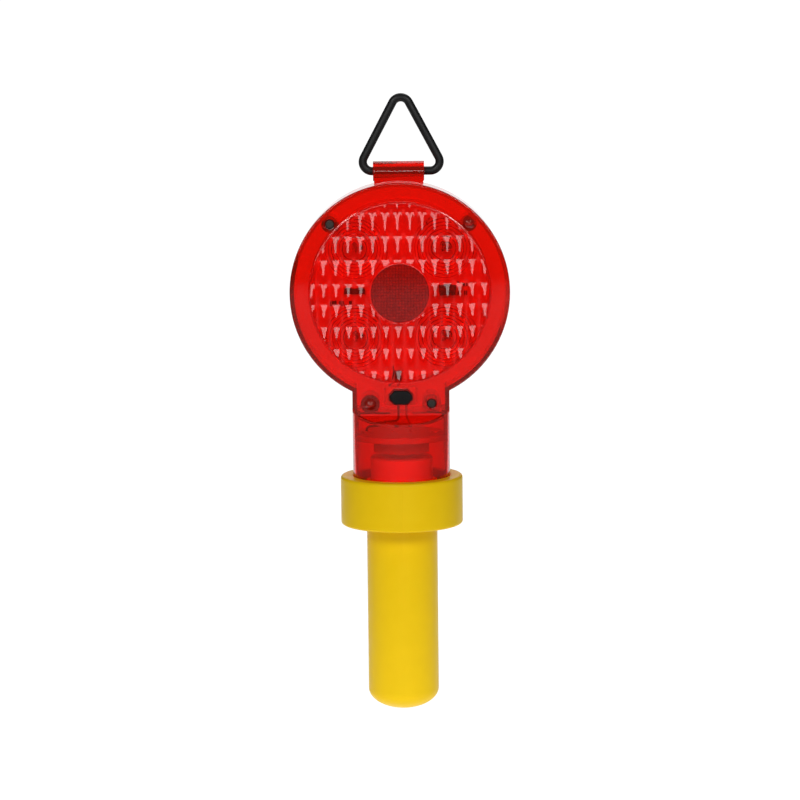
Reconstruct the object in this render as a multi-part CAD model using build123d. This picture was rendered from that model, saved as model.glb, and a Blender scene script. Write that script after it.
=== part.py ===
from build123d import *
import os
from math import cos, radians, sin, sqrt

os.makedirs("parts", exist_ok=True)

# Warning light for a traffic cone: a double-sided lamp head on a round neck, screwed
# into a handle that holds two D cells. Millimetres, +Z up along the handle, the front
# faces -Y, and the origin is the lowest point of the handle's domed end.

# Batteries
cell_d = 34.2
cell_length = 61.5
cell_cap_h = 1.5
cell_cap_d = 9.5
cell_gap = 0.3

# Handle
handle_wall = 2.1
handle_dome = 11.0
dome_floor = 4.0
dome_inner_taper = 0.75
cell_seat = 20.2
collar_hollow = 2.3
collar_z = 104.0
collar_h = 27.0
collar_wall = 2.2
collar_round = 1.5
socket_wall = 2.0
socket_floor = 2.0
seat_depth = 2.0
rib_count = 12
rib_t = 1.6

# Neck
neck_room = 5.8
neck_wall = 2.4
neck_fit = 0.3
neck_end_gap = 0.2
shoulder_z = 168.2
shoulder_slope = 0.214
shoulder_t = 2.2

# Screw joint between neck and handle
thread_lead = 8.0
thread_starts = 2
thread_depth = 1.2
thread_fit = 0.3
male_base = 2.2
male_crest = 1.0
male_thread_h = 9.0
female_thread_h = 6.0
female_base = 1.8
female_crest = 0.9
thread_start = 3.0
thread_runout = 3.0
seal_section = 0.8
seal_z = 126.5

# Lamp head
head_r = 60.0
head_lift = 4.6
head_half = 12.5
shell_t = 2.2
head_wall = 2.4
rim_round = 0.8
throat_half = 26.5
throat_corner = 2.4
partition_z = 166.3
partition_t = 1.0
wire_gap = 12.0

# Lens and reflector
lens_r = 49.8
lens_proud = 1.5
lens_t = 2.2
lens_spigot_r = 47.4
lens_fit = 0.2
reflex_r = 15.9
reflex_t = 1.1
reflex_fit = 0.1

# Screws that hold the two shells
upper_screw_r = 53.3
upper_boss_r = 4.5
lower_screw_x = 16.8
lower_screw_z = 171.8
lower_boss_r = 5.2
screw_r = 1.45
screw_hole_r = 1.55
screw_head_r = 2.7
screw_head_h = 2.0
screw_head_hole_r = 3.0
screw_seat_depth = 3.5
screw_reach = 8.0
pilot_extra = 1.0
cap_dome_r = 3.2
cap_dome_h = 1.5

# Hanging loop and ring
wire_r = 2.3
ring_bend = 5.0
ring_base_x = 15.9
ring_peak = 34.9
loop_lift = 0.2
ring_shift = 1.5
loop_r = 5.4
loop_bore_r = 3.1
loop_half_w = 13.9
loop_web_inset = 0.5
loop_slot_w = 19.0
loop_slot_h = 1.0
loop_slot_depth = 0.8
loop_slot_up = -0.4

# Board and lamps
board_t = 1.6
board_r = 49.4
board_fit = 0.3
clamp_rib_t = 1.4
clamp_gap = 0.05
led_pitch = 24.3
led_r = 2.5
led_flange_r = 2.9
led_flange_h = 1.0
led_h = 8.6
led_stand = 1.2
led_leg = 0.5
led_leg_pitch = 2.54
led_leg_end = 0.6
chip_x = -24.6
chip_l = 8.8
chip_w = 4.0
chip_h = 1.6
can_x = 26.0
can_l = 11.0
can_r = 3.0
resistor_w = 1.6
resistor_l = 3.2
resistor_h = 0.6
resistor_pitch = 2.6
left_row_x = -37.2
right_row_x = 34.3
diode_x = 16.0
diode_inset = 9.9
diode_l = 5.2
diode_r = 1.35
pad_r = 1.1
pad_h = 0.5
switch_pad_x = -3.1
earth_pad_x = -1.4
switch_pad_down = 41.5
earth_pad_down = 44.5

# Switch
button_z = 175.6
button_w = 11.6
button_h = 7.2
button_cut = 2.4
button_fit = 0.3
button_proud = 1.8
button_travel = 1.5
button_lip = 1.2
button_lip_h = 0.5
button_flange = 0.9
button_flange_t = 0.8
stem_r = 1.2
switch_w = 16.0
switch_h = 10.0
switch_d = 6.0
switch_gap = 1.8
well_r = 3.0
well_depth = 4.0
switch_spring_wire = 0.25
switch_spring_r = 2.2
switch_spring_turns = 4
tag_w = 2.0
tag_t = 0.5
tag_l = 3.0

# Contacts in the neck
carrier_z = 151.6
carrier_t = 3.0
carrier_groove = 0.8
carrier_fit = 0.1
carrier_boss_r = 15.2
leaf_t = 0.4
leaf_w = 8.0
leaf_drop = 2.4
contact_ring_w = 4.0
contact_ring_over = 3.0
rivet_r = 1.2
rivet_head_r = 2.6
rivet_head_h = 0.8
leaf_rivet_x = 5.0
leaf_rivet_r = 0.8
leaf_rivet_head_r = 1.4
leaf_rivet_head_h = 0.4
strip_w = 4.0
strip_t = 0.4
strip_groove = 0.6
strip_side_fit = 0.3
strip_tongue = 1.8
plate_r = 11.5
plate_t = 0.4
battery_wire_r = 0.55
battery_spring_turns = 5.5
battery_spring_top_r = 6.0

# Leads
lead_r = 0.65

# Sizes that follow from the ones above
cell_r = cell_d / 2
bore_r = cell_r + cell_gap
handle_r = bore_r + handle_wall
collar_top = collar_z + collar_h
contact_ring_out = bore_r + strip_groove + contact_ring_over
contact_ring_in = contact_ring_out - contact_ring_w
neck_r = contact_ring_out + neck_room
socket_r = neck_r + neck_fit
collar_r = socket_r + socket_wall + collar_hollow + collar_wall
socket_base = collar_z + seat_depth + socket_floor
spigot_z = socket_base + neck_end_gap
thread_root_r = neck_r - thread_fit / 2 - thread_depth
neck_in_r = neck_r - neck_wall
thread_z = spigot_z + thread_start
head_z = shoulder_z + head_lift + head_r
head_top = head_z + head_r
loop_z = head_top + loop_lift + loop_r
loop_slot_z = head_top + loop_slot_up
face_y = -head_half
inner_y = face_y + shell_t
diode_up = lens_spigot_r - diode_inset
lens_y = face_y - lens_proud
upper_x = upper_screw_r * cos(radians(45))
upper_z = head_z + upper_screw_r * sin(radians(45))
stack_top = cell_seat + 2 * cell_length


def rod_y(radius, y0, y1, x=0.0, z=0.0):
    """Round bar along Y."""
    return Pos(x, (y0 + y1) / 2, z) * Rot(X=90) * Cylinder(radius, abs(y1 - y0))


def rod_z(radius, z0, z1, x=0.0, y=0.0):
    """Round bar along Z."""
    return Pos(x, y, (z0 + z1) / 2) * Cylinder(radius, z1 - z0)


def tube_z(outer, inner, z0, z1):
    """Round tube along Z."""
    return rod_z(outer, z0, z1) - rod_z(inner, z0 - 1, z1 + 1)


def block(x0, x1, y0, y1, z0, z1):
    """Box between two corners."""
    return Pos((x0 + x1) / 2, (y0 + y1) / 2, (z0 + z1) / 2) * Box(x1 - x0, y1 - y0, z1 - z0)


def turned_solid(outline):
    """Solid turned about Z from closed edges drawn in the XZ plane."""
    return revolve(make_face(outline), Axis.Z)


def save(shape, name):
    """Write one node."""
    export_step(shape, "parts/" + name + ".step")


def thread_ridges(base_r, crest_r, start_z, height, base_w, crest_w):
    """Helical ridges, one for each start, from base_r to crest_r."""
    into = 0.3 if crest_r > base_r else -0.3
    profile = Plane.XZ * Polyline(
        (base_r - into, -base_w / 2),
        (base_r, -base_w / 2),
        (crest_r, -crest_w / 2),
        (crest_r, crest_w / 2),
        (base_r, base_w / 2),
        (base_r - into, base_w / 2),
        close=True,
    )
    face = make_face(profile.edges())
    path = Helix(thread_lead, height, base_r)
    ridge = sweep(face, path, is_frenet=True)
    ridges = []
    for start in range(thread_starts):
        ridges.append(Pos(0, 0, start_z) * Rot(Z=start * 360 / thread_starts) * ridge)
    return ridges


def slope_prism(lift):
    """Space above both sloped shoulder planes of the neck, raised by lift."""
    reach = collar_r
    top = head_z
    low = shoulder_z + lift - shoulder_slope * reach
    outline = Plane.YZ * Polyline(
        (-reach, low),
        (0, shoulder_z + lift),
        (reach, low),
        (reach, top),
        (-reach, top),
        close=True,
    )
    return extrude(make_face(outline.edges()), amount=head_r, both=True)


def shell_outside():
    """Outer form of one half: disc, throat, half neck and the half loop on top."""
    disc = rod_y(head_r, face_y, 0, 0, head_z)
    disc = fillet(disc.edges().filter_by(GeomType.CIRCLE).group_by(Axis.Y)[0], rim_round)
    throat = block(-throat_half, throat_half, face_y, 0, shoulder_z - 2 * neck_wall, head_z - head_r / 2)
    for side in (-1, 1):
        edge = side * throat_half
        cut = Plane.XZ * Polyline(
            (edge + side, shoulder_z - 2 * neck_wall - 1),
            (edge - side * 2 * throat_corner, shoulder_z - 2 * neck_wall - 1),
            (edge - side * throat_corner, shoulder_z - throat_corner),
            (edge, shoulder_z - 0.5),
            (edge + side, shoulder_z - 0.5),
            close=True,
        )
        throat = throat - extrude(make_face(cut.edges()), amount=head_r, both=True)
    throat = throat & slope_prism(-0.01)
    neck = rod_z(neck_r, spigot_z, shoulder_z) - slope_prism(0)
    neck = neck & block(-head_r, head_r, -head_r, 0, 0, head_z)
    web_half = loop_half_w - loop_web_inset
    web = block(-web_half, web_half, -loop_r, 0, head_top - 4, loop_z)
    loop = Pos(0, 0, loop_z) * Rot(Y=90) * Cylinder(loop_r, 2 * loop_half_w)
    loop = loop & block(-head_r, head_r, -loop_r - 1, 0, loop_z - loop_r - 1, loop_z + loop_r + 1)
    return disc + throat + neck + web + loop


def shell_inside():
    """Hollow of one half, open at the joint plane and at the foot of the neck."""
    disc = rod_y(head_r - head_wall, inner_y, 1, 0, head_z)
    half = throat_half - neck_wall
    throat = block(-half, half, inner_y, 1, shoulder_z - 3 * neck_wall, head_z - head_r + 9.0)
    throat = throat & slope_prism(-0.01)
    below = rod_z(neck_in_r, carrier_z, shoulder_z + neck_wall)
    below = below & block(-head_r, head_r, inner_y, 1, 0, head_z)
    corner = slope_prism(shoulder_t) & throat
    neck = rod_z(neck_in_r, spigot_z - 1, shoulder_z) - slope_prism(-shoulder_t)
    return disc + corner + below + neck


def boss_list():
    """Screw places of the front half: x, z, boss radius, and if the screw enters here."""
    return [
        (-upper_x, upper_z, upper_boss_r, True),
        (upper_x, upper_z, upper_boss_r, False),
        (lower_screw_x, lower_screw_z, lower_boss_r, True),
        (-lower_screw_x, lower_screw_z, lower_boss_r, False),
    ]


def cap_dome(x, z):
    """Low dome that closes a blind boss on the outside."""
    ball_r = (cap_dome_r**2 + cap_dome_h**2) / (2 * cap_dome_h)
    ball = Pos(x, face_y - cap_dome_h + ball_r, z) * Sphere(ball_r)
    return ball & block(x - ball_r, x + ball_r, face_y - cap_dome_h, face_y + 0.5, z - ball_r, z + ball_r)


def button_outline(extra):
    """Eight-sided outline of the button, grown by extra all round."""
    w = button_w / 2 + extra
    h = button_h / 2 + extra
    c = button_cut + extra * (2 - sqrt(2))
    outline = Plane.XZ * Polyline(
        (-w, -h + c), (-w + c, -h), (w - c, -h), (w, -h + c),
        (w, h - c), (w - c, h), (-w + c, h), (-w, h - c),
        close=True,
    )
    return make_face(outline.edges())


def button_prism(extra, y0, y1):
    """Eight-sided bar along Y at the button's place, between y0 and y1."""
    prism = extrude(button_outline(extra), amount=abs(y1 - y0), dir=(0, 1, 0))
    return Pos(0, min(y0, y1), button_z) * prism


def half_shell(with_button):
    """One clear half of the lamp, as it lies in front."""
    shell = shell_outside()
    shell = shell - shell_inside()
    rib_in = lens_spigot_r + 0.8
    rib = rod_y(rib_in + clamp_rib_t, inner_y - 0.1, -board_t / 2 - clamp_gap, 0, head_z)
    rib = rib - rod_y(rib_in, face_y, 1, 0, head_z)
    rib = rib - block(-wire_gap / 2, wire_gap / 2, face_y, 1, head_z - head_r, head_z)
    shell = shell + rib
    half = throat_half - neck_wall / 2
    partition = block(-half, half, inner_y - 0.5, 0, partition_z, partition_z + partition_t)
    partition = partition - block(-wire_gap / 2, wire_gap / 2, inner_y + 3, 1, 0, head_z)
    partition = partition & rod_z(neck_r - 0.5, partition_z - 1, partition_z + 2)
    shell = shell + partition
    shell = shell - rod_y(lens_spigot_r + lens_fit, face_y - 1, inner_y + 1, 0, head_z)
    seat_y = face_y + screw_seat_depth
    for x, z, boss_r, enters in boss_list():
        shell = shell + rod_y(boss_r, inner_y - 0.5, 0, x, z)
        if enters:
            shell = shell - rod_y(screw_head_hole_r, face_y - 1, seat_y, x, z)
            shell = shell - rod_y(screw_hole_r, face_y, 1, x, z)
        else:
            shell = shell + cap_dome(x, z)
            shell = shell - rod_y(screw_hole_r, -screw_reach - pilot_extra, 1, x, z)
    shell = shell - Pos(0, 0, loop_z) * Rot(Y=90) * Cylinder(loop_bore_r, 4 * loop_half_w)
    slot = block(-loop_slot_w / 2, loop_slot_w / 2, -loop_r - 1, -loop_r + loop_slot_depth,
                 loop_slot_z, loop_slot_z + loop_slot_h)
    shell = shell - slot
    groove_r = neck_in_r + carrier_groove
    groove = rod_z(groove_r, carrier_z - carrier_fit, carrier_z + carrier_t + carrier_fit)
    shell = shell - groove
    shell = shell - neck_outer_cuts()
    front = block(-head_r, head_r, -head_r, 0, 0, loop_z)
    for ridge in thread_ridges(thread_root_r, thread_root_r + thread_depth, thread_z,
                               male_thread_h, male_base, male_crest):
        shell = shell + (ridge & front)
    if with_button:
        lip = button_prism(button_lip, face_y - button_lip_h, face_y + 0.5)
        shell = shell + lip - button_prism(button_fit, face_y - 2, inner_y + 1)
        for side in (-1, 1):
            x0 = side * (switch_w / 2 + 0.1)
            x1 = x0 + side * 1.2
            shell = shell + block(min(x0, x1), max(x0, x1), inner_y - 0.5, switch_y0() + 4,
                                  button_z - 4, button_z + 4)
    return shell


def neck_outer_cuts():
    """Material taken off outside the neck: the thread root and the seal's groove."""
    thread_top = thread_z + male_thread_h + thread_runout
    root = tube_z(neck_r + 5, thread_root_r, spigot_z - 1, thread_top)
    groove_r = neck_r + neck_fit - 2 * seal_section - 0.05
    seal = tube_z(neck_r + 5, groove_r, seal_z - seal_section - 0.2, seal_z + seal_section + 0.2)
    return root + seal


def switch_y0():
    """Front face of the switch body."""
    return inner_y + button_flange_t + switch_gap + 0.1


def handle_body():
    """Tube with a domed end, double-walled collar and threaded socket, one moulding."""
    dome = EllipticalCenterArc((0, handle_dome), handle_r, handle_dome, 270, arc_size=90)
    rise = handle_dome - dome_floor
    floor_r = bore_r - rise * dome_inner_taper
    curve = EllipticalCenterArc((floor_r, handle_dome), bore_r - floor_r, rise, 270, arc_size=90)
    skirt_in = collar_r - collar_wall
    socket_out = socket_r + socket_wall
    deck_z = collar_top - collar_wall
    outline = dome + Polyline(
        (handle_r, handle_dome),
        (handle_r, socket_base - socket_floor),
        (socket_out, socket_base - socket_floor),
        (socket_out, deck_z),
        (skirt_in, deck_z),
        (skirt_in, collar_z),
        (collar_r, collar_z),
        (collar_r, collar_top),
        (socket_r, collar_top),
        (socket_r, socket_base),
        (handle_r, socket_base),
        (handle_r, deck_z),
        (bore_r, deck_z),
        (bore_r, handle_dome),
    ) + curve + Polyline((floor_r, dome_floor), (0, dome_floor), (0, 0))
    outline = Plane.XZ * outline
    body = turned_solid(outline.edges())
    rims = body.edges().filter_by(GeomType.CIRCLE)
    rims = rims.filter_by(lambda e: abs(e.radius - collar_r) < 0.01)
    body = fillet(rims, collar_round)
    for i in range(rib_count):
        rib = block(socket_out - 0.5, skirt_in + 0.5, -rib_t / 2, rib_t / 2, collar_z, deck_z + 0.5)
        body = body + Rot(Z=i * 360 / rib_count) * rib
    for ridge in thread_ridges(socket_r, thread_root_r + thread_fit, thread_z + thread_lead / 4,
                               female_thread_h, female_base, female_crest):
        body = body + ridge
    slot_half = strip_w / 2 + strip_side_fit
    groove_out = bore_r + strip_groove
    groove = block(-slot_half, slot_half, bore_r - 1, groove_out, handle_dome - 2, deck_z + 1)
    return body - groove


def spring_plate():
    """Thin plate at the closed end of the handle."""
    return rod_z(plate_r, dome_floor, dome_floor + plate_t)


def coil(start_r, end_r, z0, z1, turns, wire):
    """Round-wire coil about Z from z0 to z1, measured over the wire."""
    height = z1 - z0 - 2 * wire
    taper = (end_r - start_r) / height
    path = Helix(height / turns, height, start_r, cone_angle=atan_deg(taper))
    section = Plane(origin=path @ 0, z_dir=path % 0) * Circle(wire)
    return Pos(0, 0, z0 + wire) * sweep(section, path, is_frenet=True)


def atan_deg(value):
    """Angle in degrees whose tangent is value."""
    return Vector(1, 0).get_angle(Vector(1, value)) * (1 if value >= 0 else -1)


def battery_spring():
    """Conical coil under the lower cell."""
    foot = dome_floor + plate_t
    return coil(plate_r - 1.5, battery_spring_top_r, foot, cell_seat, battery_spring_turns, battery_wire_r)


def earth_strip():
    """Strip from the spring plate up the groove, with its end bent over under the ring contact."""
    wall_y = bore_r + strip_groove - strip_t - 0.05
    top_z = carrier_z - leaf_t
    half = strip_w / 2
    lower = Plane.YZ * Polyline(
        (plate_r - 2.0, dome_floor + plate_t),
        (plate_r - 0.5, dome_floor + plate_t),
        (wall_y + strip_t, handle_dome - 1.0),
        (wall_y + strip_t, top_z),
        (wall_y - strip_tongue, top_z),
        (wall_y - strip_tongue, top_z - strip_t),
        (wall_y, top_z - strip_t),
        (wall_y, handle_dome - 0.8),
        (plate_r - 0.7, dome_floor + plate_t + strip_t),
        (plate_r - 2.0, dome_floor + plate_t + strip_t),
        close=True,
    )
    return extrude(make_face(lower.edges()), amount=half, both=True)


def battery(base_z):
    """One D cell: can with rounded rims, and the raised cap."""
    can = rod_z(cell_r, base_z, base_z + cell_length - cell_cap_h)
    can = fillet(can.edges().filter_by(GeomType.CIRCLE), 1.2)
    cap = rod_z(cell_cap_d / 2, base_z + cell_length - cell_cap_h - 0.5, base_z + cell_length)
    return can + cap


def neck_seal():
    """Rubber ring in the neck's groove."""
    centre_r = neck_r + neck_fit - seal_section - 0.05
    return Pos(0, 0, seal_z) * Torus(centre_r, seal_section - 0.02)


def lens():
    """Lens disc: flange on the shell's face, spigot in its window, pocket for the reflector."""
    flange = rod_y(lens_r, lens_y, face_y, 0, head_z)
    flange = fillet(flange.edges().filter_by(GeomType.CIRCLE).group_by(Axis.Y)[0], 0.5)
    body = flange + rod_y(lens_spigot_r, lens_y + 0.5, lens_y + lens_t, 0, head_z)
    return body - rod_y(reflex_r + reflex_fit, lens_y - 1, lens_y + reflex_t, 0, head_z)


def reflex():
    """Round prismatic reflector in the lens's pocket."""
    return rod_y(reflex_r, lens_y + 0.1, lens_y + reflex_t, 0, head_z)


def led(x, z, leg_turn):
    """Dome lamp facing -Y, standing off the board on two legs."""
    base = -board_t / 2 - led_stand
    top = base - led_h
    body = rod_y(led_flange_r, base - led_flange_h, base, x, z)
    body = body + rod_y(led_r, top + led_r, base, x, z)
    body = body + Pos(x, top + led_r, z) * Sphere(led_r)
    for side in (-1, 1):
        off = side * led_leg_pitch / 2
        leg = block(off - led_leg / 2, off + led_leg / 2, base - 0.2, board_t / 2 + led_leg_end,
                    -led_leg / 2, led_leg / 2)
        body = body + Pos(x, 0, z) * Rot(Y=leg_turn) * leg
    return body


def led_places():
    """Centres of the four lamps: x and z."""
    places = []
    for sx in (-1, 1):
        for sz in (-1, 1):
            places.append((sx * led_pitch, head_z + sz * led_pitch))
    return places


def led_board():
    """Board between the clamp ribs, notched round the upper bosses and drilled for the legs."""
    board = rod_y(board_r, -board_t / 2, board_t / 2, 0, head_z)
    for side in (-1, 1):
        board = board - rod_y(upper_boss_r + board_fit, -2, 2, side * upper_x, upper_z)
    hole_r = led_leg * 0.75
    for x, z in led_places():
        off = led_leg_pitch / 2
        for dx, dz in ((off, 0), (-off, 0), (0, off), (0, -off)):
            board = board - rod_y(hole_r, -2, 2, x + dx, z + dz)
    return board


def board_components():
    """Small parts on the front of the board: chip, capacitor, resistors, diode."""
    y = -board_t / 2
    parts = [block(chip_x - chip_l / 2, chip_x + chip_l / 2, y - chip_h, y,
                   head_z - chip_w / 2, head_z + chip_w / 2)]
    can = Rot(Y=90) * Cylinder(can_r, can_l)
    parts.append(Pos(can_x, y - can_r - 0.05, head_z + 0.5) * can)
    for i in range(4):
        x = left_row_x + resistor_pitch * i
        z = head_z - 6.4
        parts.append(block(x - resistor_w / 2, x + resistor_w / 2, y - resistor_h, y,
                           z - resistor_l / 2, z + resistor_l / 2))
        x = right_row_x + resistor_pitch * (i % 2)
        z = head_z - 1.4 + 5.0 * (i // 2)
        parts.append(block(x - resistor_w / 2, x + resistor_w / 2, y - resistor_h, y,
                           z - resistor_l / 2, z + resistor_l / 2))
    diode = Rot(Y=45) * Cylinder(diode_r, diode_l)
    parts.append(Pos(diode_x, y - diode_r - 0.05, head_z + diode_up) * diode)
    return parts


def switch_body():
    """Switch case with the round well that guides the button's stem."""
    y0 = switch_y0()
    case = block(-switch_w / 2, switch_w / 2, y0, y0 + switch_d, button_z - switch_h / 2,
                 button_z + switch_h / 2)
    case = fillet(case.edges().filter_by(Axis.Y), 1.0)
    return case - rod_y(well_r, y0 - 1, y0 + well_depth, 0, button_z)


def switch_terminals():
    """Two solder tags at the back of the switch."""
    back = switch_y0() + switch_d
    tags = []
    for side in (-1, 1):
        x = side * (switch_w / 2 - 3.5)
        tags.append(block(x - tag_w / 2, x + tag_w / 2, back, back + tag_l,
                          button_z - tag_t / 2, button_z + tag_t / 2))
    return tags


def switch_button():
    """Button: eight-sided head, flange that holds it in, and stem in the switch's well."""
    flange_y = inner_y + 0.1
    head = button_prism(0, face_y - button_proud, flange_y + 0.4)
    outer = head.faces().sort_by(Axis.Y)[0]
    head = fillet(outer.edges(), 0.5)
    flange = button_prism(button_flange, flange_y, flange_y + button_flange_t)
    stem = rod_y(stem_r, flange_y, switch_y0() + well_depth - button_travel - 0.4, 0, button_z)
    return head + flange + stem


def switch_spring():
    """Coil round the stem, between the flange and the floor of the well."""
    y0 = inner_y + 0.1 + button_flange_t
    y1 = switch_y0() + well_depth
    spring = coil(switch_spring_r, switch_spring_r, y0, y1, switch_spring_turns, switch_spring_wire)
    return Pos(0, 0, button_z) * Rot(X=-90) * spring


def contact_carrier():
    """Plate held in the groove of both shells, with a boss that shields the cell's cap."""
    plate = rod_z(neck_in_r + carrier_groove - carrier_fit, carrier_z, carrier_z + carrier_t)
    boss_z = stack_top + 2 * leaf_t + 0.4
    plate = plate + rod_z(carrier_boss_r, boss_z, carrier_z + 1)
    for side in (-1, 1):
        plate = plate - rod_z(leaf_rivet_r + 0.05, boss_z - 1, carrier_z + carrier_t + 1,
                              side * leaf_rivet_x)
        plate = plate - rod_z(rivet_r + 0.05, carrier_z - 1, carrier_z + carrier_t + 1,
                              side * (contact_ring_in + contact_ring_out) / 2)
    return plate


def positive_contact():
    """Sprung leaf under the boss that touches the upper cell's cap."""
    boss_z = stack_top + 2 * leaf_t + 0.4
    half = leaf_w / 2
    leaf = Plane.XZ * Polyline(
        (-6.5, boss_z),
        (-6.5, boss_z - leaf_t),
        (-3.5, boss_z - leaf_t),
        (-2.0, stack_top),
        (2.0, stack_top),
        (3.5, boss_z - leaf_t),
        (6.5, boss_z - leaf_t),
        (6.5, boss_z),
        (3.3, boss_z),
        (1.8, stack_top + leaf_t),
        (-1.8, stack_top + leaf_t),
        (-3.3, boss_z),
        close=True,
    )
    leaf = extrude(make_face(leaf.edges()), amount=half, both=True)
    for side in (-1, 1):
        leaf = leaf - rod_z(leaf_rivet_r + 0.05, stack_top - 1, boss_z + 1, side * leaf_rivet_x)
    return leaf


def ring_contact():
    """Flat ring under the carrier for the earth strip."""
    ring = tube_z(contact_ring_out, contact_ring_in, carrier_z - leaf_t, carrier_z)
    for side in (-1, 1):
        ring = ring - rod_z(rivet_r + 0.05, carrier_z - 1, carrier_z + 1,
                            side * (contact_ring_in + contact_ring_out) / 2)
    return ring


def contact_rivets():
    """Two rivets through the leaf's ends and two through the ring contact."""
    top = carrier_z + carrier_t
    leaf_under = stack_top + leaf_t + 0.4
    ring_mid = (contact_ring_in + contact_ring_out) / 2
    rivets = []
    for side in (-1, 1):
        x = side * leaf_rivet_x
        body = rod_z(leaf_rivet_r, leaf_under - leaf_rivet_head_h, top + rivet_head_h, x)
        body = body + rod_z(leaf_rivet_head_r, leaf_under - leaf_rivet_head_h, leaf_under, x)
        rivets.append(body + rod_z(leaf_rivet_head_r, top, top + rivet_head_h, x))
        x = side * ring_mid
        body = rod_z(rivet_r, carrier_z - leaf_t, top + rivet_head_h, x)
        rivets.append(body + rod_z(rivet_head_r, top, top + rivet_head_h, x))
    return rivets


def lead(points, radii):
    """Insulated lead: straight runs joined by arcs."""
    path = FilletPolyline(*points, radius=radii)
    section = Plane(origin=path @ 0, z_dir=path % 0) * Circle(lead_r)
    return sweep(section, path)


def wire_positive():
    """Lead from the leaf's rivet to the right tag of the switch."""
    start_z = carrier_z + carrier_t + rivet_head_h
    return lead([
        (leaf_rivet_x, 0, start_z),
        (leaf_rivet_x, 0, start_z + 2.5),
        (3.0, -0.6, start_z + 6.5),
        (3.0, 0.2, button_z - 5.5),
        (switch_w / 2 - 3.5, 0.4, button_z - 2.5),
        (switch_w / 2 - 3.5, 0.4, button_z - tag_t / 2),
    ], [1.5, 3.0, 2.5, 1.5])


def wire_switch():
    """Lead from the left tag of the switch to its pad on the board."""
    return lead([
        (3.5 - switch_w / 2, 0.4, button_z + tag_t / 2),
        (3.5 - switch_w / 2, 0.4, button_z + 2.0),
        (-6.6, -0.4, button_z + 4.2),
        (switch_pad_x, -2.7, head_z - board_r + 4.5),
        (switch_pad_x, -2.7, head_z - switch_pad_down),
        (switch_pad_x, -board_t / 2 - pad_h, head_z - switch_pad_down),
    ], [1.0, 1.5, 4.0, 1.0])


def wire_negative():
    """Lead from the ring contact's rivet, behind the switch, to its pad on the board."""
    start_z = carrier_z + carrier_t + rivet_head_h
    rivet_x = -(contact_ring_in + contact_ring_out) / 2
    return lead([
        (rivet_x, 0, start_z),
        (rivet_x, 0, start_z + 2.4),
        (earth_pad_x, 0.8, start_z + 4.0),
        (earth_pad_x, 0.8, button_z + 4.6),
        (earth_pad_x, -2.7, head_z - board_r - 0.4),
        (earth_pad_x, -2.7, head_z - earth_pad_down),
        (earth_pad_x, -board_t / 2 - pad_h, head_z - earth_pad_down),
    ], [2.0, 2.5, 2.0, 2.0, 1.0])


def solder_pads():
    """Solder joints under the ends of the two leads on the board."""
    y = -board_t / 2
    return [
        rod_y(pad_r, y - pad_h, y, switch_pad_x - 0.6, head_z - switch_pad_down),
        rod_y(pad_r, y - pad_h, y, earth_pad_x + 0.4, head_z - earth_pad_down),
    ]


def shell_screws():
    """The two screws driven from the front."""
    seat = face_y + screw_seat_depth
    screws = []
    for x, z, boss_r, enters in boss_list():
        if enters:
            head = rod_y(screw_head_r, seat - screw_head_h, seat, x, z)
            head = fillet(head.edges().filter_by(GeomType.CIRCLE).group_by(Axis.Y)[0], 0.9)
            for turn in (45, 135):
                slot = Box(3.4, 2.4, 0.8)
                head = head - Pos(x, seat - screw_head_h, z) * Rot(Y=turn) * slot
            shank = rod_y(screw_r, seat - 0.1, screw_reach, x, z)
            tip = shank.edges().filter_by(GeomType.CIRCLE).group_by(Axis.Y)[-1]
            screws.append(head + chamfer(tip, 0.6))
    return screws


def hanging_ring():
    """Closed round-wire ring, a triangle with rounded corners, its bar on the loop's axis."""
    core = make_face((Plane.XZ * Polyline(
        (-ring_base_x, ring_bend), (ring_base_x, ring_bend), (0, ring_peak), close=True,
    )).edges())
    path = offset(core, amount=ring_bend, kind=Kind.ARC).face().outer_wire()
    start = path @ 0
    section = Plane(origin=start, z_dir=path % 0) * Circle(wire_r)
    return Pos(ring_shift, 0, loop_z) * sweep(section, path)


def turned(shape):
    """The same piece on the back of the lamp."""
    return Rot(Z=180) * shape


def group(solids):
    """Several separate solids in one node."""
    return Compound(children=solids)


save(handle_body(), "handle_body")
save(spring_plate(), "spring_plate")
save(battery_spring(), "battery_spring")
save(earth_strip(), "earth_strip")
save(battery(cell_seat), "battery_lower")
save(battery(cell_seat + cell_length), "battery_upper")
save(neck_seal(), "neck_seal")
save(half_shell(True), "front_shell")
save(turned(half_shell(False)), "rear_shell")
save(lens(), "front_lens")
save(turned(lens()), "rear_lens")
save(reflex(), "front_reflex")
save(turned(reflex()), "rear_reflex")
save(contact_carrier(), "contact_carrier")
save(positive_contact(), "positive_contact")
save(ring_contact(), "ring_contact")
save(group(contact_rivets()), "contact_rivets")
save(led_board(), "led_board")
save(group([led(x, z, 0) for x, z in led_places()]), "front_leds")
save(group([turned(led(x, z, 90)) for x, z in led_places()]), "rear_leds")
save(group(board_components()), "board_components")
save(group(solder_pads()), "solder_pads")
save(switch_body(), "switch_body")
save(group(switch_terminals()), "switch_terminals")
save(switch_button(), "switch_button")
save(switch_spring(), "switch_spring")
save(wire_positive(), "wire_positive")
save(wire_negative(), "wire_negative")
save(wire_switch(), "wire_switch")
save(group(shell_screws()), "front_screws")
save(group([turned(screw) for screw in shell_screws()]), "rear_screws")
save(hanging_ring(), "hanging_ring")
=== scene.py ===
from math import cos, pi, radians, sin

import bmesh
import bpy
from mathutils import Matrix, Vector


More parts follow.
